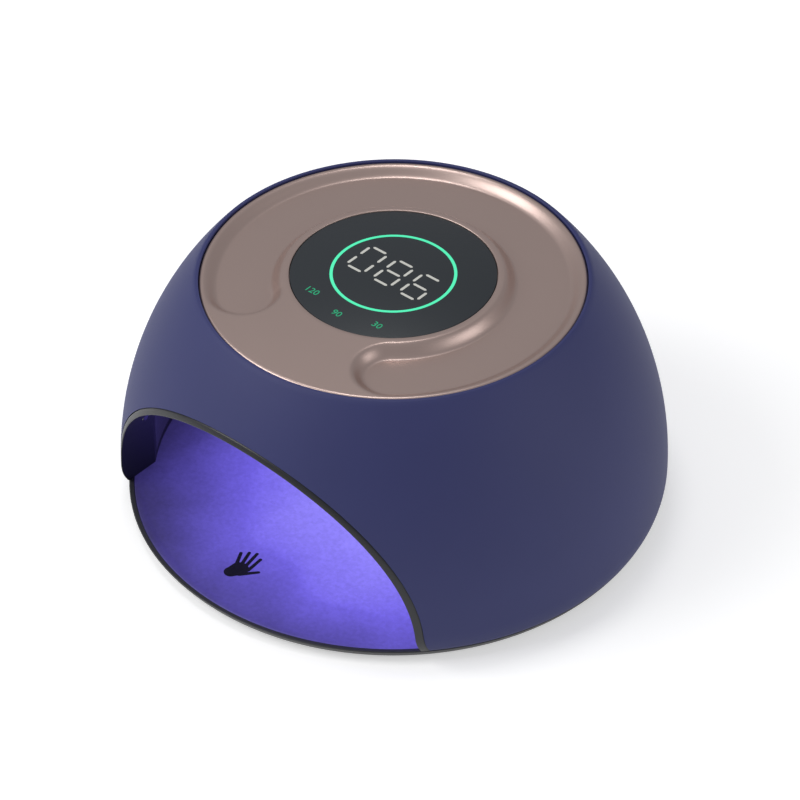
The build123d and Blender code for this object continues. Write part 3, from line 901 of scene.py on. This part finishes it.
def makeBasePlate():
    b = baseSetup
    e = b["edgeRound"]
    low, high = b["plateBottom"], b["trayTop"]
    steps = 10
    rings = [(0, low), (domeRadius(low) - e, low)]
    for i in range(steps + 1):
        z = low + e * 0.6 + (high - low - e * 1.2) * i / steps
        rings.append((domeRadius(z), z))
    inner = b["trayRadius"] + b["seatGap"]
    rings += [(domeRadius(high) - e, high), (inner + 0.1, high), (inner, high - 0.1)]
    rings += [(inner, high - b["trayThickness"]), (0, high - b["trayThickness"])]
    mesh = ringLoft("basePlate", rings, False, b["segments"])
    finishPiece("basePlate", mesh, "baseBlack", "base", ["base_plate"])


def makeTray():
    b = baseSetup
    top = b["trayTop"]
    low = top - b["trayThickness"]
    r = b["trayRadius"]
    rings = [(0, low + 0.01), (r - 0.1, low + 0.01)]
    edge = b["trayEdge"]
    rings += arcPoints((r - edge, top - edge), edge, 0, 90, 5)
    sunk = top - b["trayRecess"]
    rimEnd, slopeEnd, flat = b["trayRim"]
    rings += [(r - rimEnd, top - b["trayRimDrop"]), (r - slopeEnd, sunk), (r - flat, sunk), (0, sunk)]
    mesh = ringLoft("baseTray", rings, False, b["segments"])
    finishPiece("baseTray", mesh, "traySteel", "base", ["base_tray"])


handSetup = {
    # a plain open hand, fingers to the inside; places in mm
    "palm": ((-8.7, -81.9), (-7.5, -78.9), 2.7, 3.7),
    "fingers": (
        ((-9.9, -77.6), (-12.9, -71.9), 0.75, 0.65),
        ((-8.4, -76.5), (-10.6, -69.8), 0.75, 0.65),
        ((-6.6, -76.5), (-8.0, -68.4), 0.75, 0.65),
        ((-4.4, -77.2), (-4.9, -69.9), 0.75, 0.65),
        ((-5.4, -81.0), (-0.7, -75.6), 0.90, 0.65),
    ),
    "proud": 0.04,
    "sink": 0.02,
    "layerStep": 0.004,       # so that no two tops lie in one plane
}


def capsule(start, end, startRadius, endRadius):
    # outline of a tapered finger
    sx, sy = start
    ex, ey = end
    turn = atan2(ey - sy, ex - sx) * 180 / pi
    points = arcPoints(start, startRadius, turn + 90, turn + 270, 14)
    points += arcPoints(end, endRadius, turn - 90, turn + 90, 10)
    return points


def makeHandMark():
    h = handSetup
    top = baseSetup["trayTop"] - baseSetup["trayRecess"]
    bm = bmesh.new()
    low, high = top - h["sink"], top + h["proud"]
    flatBlock(bm, capsule(*h["palm"]), low, high)
    for i, finger in enumerate(h["fingers"]):
        flatBlock(bm, capsule(*finger), low, high - h["layerStep"] * (i + 1))
    mesh = meshFromBmesh("handMark", bm)
    finishPiece("handMark", mesh, "handInk", "base")


makeBasePlate()
makeTray()
makeHandMark()
print("base made")

liningSetup = {
    "inset": 12.0,
    "wall": 1.8,
    "foot": 8.0,
    "ceiling": 80.0,
    "corner": 9.0,
    "beadHole": 3.6,
    "holeDepth": 12.0,
    "segments": 288,
}


def liningSide(inset, top, corner):
    # section from the foot up and over to the axis, with a round corner under the top
    points = [(dome["widest"] - inset, liningSetup["foot"])]
    arc = dome["sideArc"] - inset
    middle = (dome["widest"] - dome["sideArc"], dome["widestHeight"])
    cz = top - corner
    reach = sqrt((arc - corner) ** 2 - (cz - middle[1]) ** 2)
    cr = middle[0] + reach
    join = atan2(cz - middle[1], reach) * 180 / pi
    points += arcPoints(middle, arc, 0, join, 34)
    points += arcPoints((cr, cz), corner, join, 90, 12)[1:]
    points.append((0, top))
    return points


def makeLining():
    s = liningSetup
    outside = liningSide(s["inset"] - s["wall"], s["ceiling"] + s["wall"], s["corner"])
    inside = liningSide(s["inset"], s["ceiling"], s["corner"] - s["wall"])
    blank = ringLoft("liningBlank", outside + inside[::-1], True, s["segments"])
    blank = cutMesh(blank, openingCutter(-dome["cutterSlack"], "liningOpening"), "liningCut")
    bm = bmesh.new()
    r = s["beadHole"] * mm
    for place in beadPlaces():
        made = bmesh.ops.create_cone(
            bm, cap_ends=True, segments=28, radius1=r, radius2=r, depth=s["holeDepth"] * mm
        )
        bmesh.ops.transform(bm, matrix=place, verts=made["verts"])
    lining = cutMesh(blank, meshFromBmesh("beadHoles", bm), "innerLining")
    finishPiece("innerLining", lining, "satinLining", "head", ["inner_lining"], 40)


beadSetup = {
    "radius": 3.2,
    "body": 2.8,
    "crown": 1.8,
    "ceilingRings": ((18.0, 5), (46.0, 11)),
    "ceilingSeat": 82.8,
    "wallSeat": 92.85,
    "wallHeight": 36.0,
    "wallStart": -25.0,
    "wallStep": 20.0,
    "wallCount": 12,
}


def beadPlaces():
    # where each light source sits, as a turn and a place, its lens towards the local -Z
    b = beadSetup
    places = []
    for radius, count in b["ceilingRings"]:
        for i in range(count):
            a = -pi / 2 + 2 * pi * i / count
            spot = Vector((radius * cos(a), radius * sin(a), b["ceilingSeat"])) * mm
            places.append(Matrix.Translation(spot))
    for i in range(b["wallCount"]):
        a = radians(b["wallStart"] + b["wallStep"] * i)
        spot = Vector((b["wallSeat"] * cos(a), b["wallSeat"] * sin(a), b["wallHeight"])) * mm
        turn = Matrix.Rotation(a, 4, "Z") @ Matrix.Rotation(pi / 2, 4, "Y")
        places.append(Matrix.Translation(spot) @ turn)
    return places


makeLining()
print("lining made")


def pointsMesh(name, places):
    # one vertex for each place, with its turn kept in an attribute
    mesh = bpy.data.meshes.new(name)
    mesh.from_pydata([tuple(p.translation) for p in places], [], [])
    turns = mesh.attributes.new("turn", "FLOAT_VECTOR", "POINT")
    for i, place in enumerate(places):
        turns.data[i].vector = tuple(place.to_euler())
    return mesh


def spreadTree(name, sizes, buildOne):
    # a geometry tree that puts one shape on every point, turned by the point's attribute
    tree = bpy.data.node_groups.new(name, "GeometryNodeTree")
    tree.interface.new_socket("Geometry", in_out="INPUT", socket_type="NodeSocketGeometry")
    for label, value in sizes:
        socket = tree.interface.new_socket(label, in_out="INPUT", socket_type="NodeSocketFloat")
        socket.default_value = value
    tree.interface.new_socket("Material", in_out="INPUT", socket_type="NodeSocketMaterial")
    tree.interface.new_socket("Geometry", in_out="OUTPUT", socket_type="NodeSocketGeometry")
    make, link = tree.nodes.new, tree.links.new
    given = make("NodeGroupInput")
    out = make("NodeGroupOutput")
    shape = buildOne(make, link, given)
    turn = make("GeometryNodeInputNamedAttribute")
    turn.data_type = "FLOAT_VECTOR"
    turn.inputs["Name"].default_value = "turn"
    spread = make("GeometryNodeInstanceOnPoints")
    real = make("GeometryNodeRealizeInstances")
    paint = make("GeometryNodeSetMaterial")
    link(given.outputs["Geometry"], spread.inputs["Points"])
    link(shape, spread.inputs["Instance"])
    link(turn.outputs["Attribute"], spread.inputs["Rotation"])
    link(spread.outputs["Instances"], real.inputs["Geometry"])
    link(real.outputs["Geometry"], paint.inputs["Geometry"])
    link(given.outputs["Material"], paint.inputs["Material"])
    link(paint.outputs["Geometry"], out.inputs["Geometry"])
    return tree


def growFromTree(name, mesh, tree, values):
    # runs a tree on a mesh and gives the result as a plain mesh
    holder = bpy.data.objects.new(name + "Points", mesh)
    bpy.context.collection.objects.link(holder)
    modifier = holder.modifiers.new("grow", "NODES")
    modifier.node_group = tree
    for item in tree.interface.items_tree:
        if item.in_out == "INPUT" and item.name in values:
            modifier[item.identifier] = values[item.name]
    graph = bpy.context.evaluated_depsgraph_get()
    grown = bpy.data.meshes.new_from_object(holder.evaluated_get(graph))
    grown.name = name
    holder.modifiers.remove(modifier)
    bpy.data.objects.remove(holder)
    return grown


def latheOne(profile):
    # returns a builder that turns a section, given as named radii and heights, into a solid
    def build(make, link, given):
        joined = make("GeometryNodeJoinGeometry")
        for radiusName, heightName, crownName in profile:
            body = make("GeometryNodeMeshCylinder")
            body.inputs["Vertices"].default_value = 32
            half = make("ShaderNodeMath")
            half.operation = "MULTIPLY"
            half.inputs[1].default_value = -0.5
            drop = make("ShaderNodeCombineXYZ")
            move = make("GeometryNodeTransform")
            link(given.outputs[radiusName], body.inputs["Radius"])
            link(given.outputs[heightName], body.inputs["Depth"])
            link(given.outputs[heightName], half.inputs[0])
            link(half.outputs[0], drop.inputs["Z"])
            link(body.outputs["Mesh"], move.inputs["Geometry"])
            link(drop.outputs["Vector"], move.inputs["Translation"])
            link(move.outputs["Geometry"], joined.inputs[0])
            ball = make("GeometryNodeMeshUVSphere")
            ball.inputs["Segments"].default_value = 32
            ball.inputs["Rings"].default_value = 16
            ball.inputs["Radius"].default_value = 1.0
            size = make("ShaderNodeCombineXYZ")
            shrink = make("ShaderNodeMath")
            shrink.operation = "MULTIPLY"
            shrink.inputs[1].default_value = 0.995
            fall = make("ShaderNodeMath")
            fall.operation = "MULTIPLY"
            fall.inputs[1].default_value = -1.0
            level = make("ShaderNodeCombineXYZ")
            crown = make("GeometryNodeTransform")
            link(given.outputs[radiusName], shrink.inputs[0])
            link(shrink.outputs[0], size.inputs["X"])
            link(shrink.outputs[0], size.inputs["Y"])
            link(given.outputs[crownName], size.inputs["Z"])
            link(given.outputs[heightName], fall.inputs[0])
            link(fall.outputs[0], level.inputs["Z"])
            link(ball.outputs["Mesh"], crown.inputs["Geometry"])
            link(size.outputs["Vector"], crown.inputs["Scale"])
            link(level.outputs["Vector"], crown.inputs["Translation"])
            link(crown.outputs["Geometry"], joined.inputs[0])
        return joined.outputs["Geometry"]

    return build


def makeBeads():
    b = beadSetup
    tree = spreadTree(
        "lightBeads",
        (("Bead Radius", 0.0032), ("Body Height", 0.0028), ("Crown Height", 0.0018)),
        latheOne([("Bead Radius", "Body Height", "Crown Height")]),
    )
    values = {
        "Bead Radius": b["radius"] * mm,
        "Body Height": b["body"] * mm,
        "Crown Height": b["crown"] * mm,
        "Material": materials["ledLens"],
    }
    places = beadPlaces()
    ceilingCount = len(places) - b["wallCount"]
    for name, part, replaced in (
        ("ceilingBeads", places[:ceilingCount], "ceiling_leds"),
        ("wallBeads", places[ceilingCount:], "wall_leds"),
    ):
        mesh = growFromTree(name, pointsMesh(name + "At", part), tree, values)
        finishPiece(name, mesh, "ledLens", "head", [replaced])


feetSetup = {"radius": 6.0, "height": 1.7, "circle": 82.0, "count": 6, "crown": 0.05}


def makeFeet():
    f = feetSetup
    tree = spreadTree(
        "roundFeet",
        (("Foot Radius", 0.006), ("Foot Height", 0.0015), ("Edge Crown", 0.0002)),
        latheOne([("Foot Radius", "Foot Height", "Edge Crown")]),
    )
    places = []
    for i in range(f["count"]):
        a = 2 * pi * i / f["count"]
        spot = Vector((f["circle"] * cos(a), f["circle"] * sin(a), f["height"])) * mm
        places.append(Matrix.Translation(spot))
    values = {
        "Foot Radius": f["radius"] * mm,
        "Foot Height": (f["height"] - f["crown"]) * mm,
        "Edge Crown": f["crown"] * mm,
        "Material": materials["footRubber"],
    }
    mesh = growFromTree("rubberFeet", pointsMesh("feetAt", places), tree, values)
    finishPiece("rubberFeet", mesh, "footRubber", "base", ["rubber_feet"])


makeBeads()
makeFeet()
print("beads and feet made")

keptPieces = {
    "chassis_ring": "blackPlastic",
    "head_magnets": "nickelMagnet",
    "chassis_screws": "boltSteel",
    "wall_led_strip": "bareAluminium",
    "ceiling_led_board": "whiteBoard",
    "heat_spreader": "bareAluminium",
    "board_screws": "boltSteel",
    "board_standoffs": "brassPost",
    "control_board": "greenBoard",
    "digit_display": "displayModule",
    "ring_light_guide": "ringLight",
    "touch_springs": "boltSteel",
    "buzzer": "blackPlastic",
    "thermal_pad": "greyPad",
    "driver_board": "greenBoard",
    "driver_inductor": "ferriteGrey",
    "driver_capacitors": "canGrey",
    "dc_inlet": "blackPlastic",
    "inlet_leads": "leadSleeve",
    "sensor_emitter": "sensorLens",
    "sensor_receiver": "sensorLens",
    "cover_screws": "boltSteel",
}

for name, material in keptPieces.items():
    node = nodes[name]
    if not node.material_slots:
        node.data.materials.append(materials[material])
    for place in node.material_slots:
        place.material = materials[material]
print("finishes set")
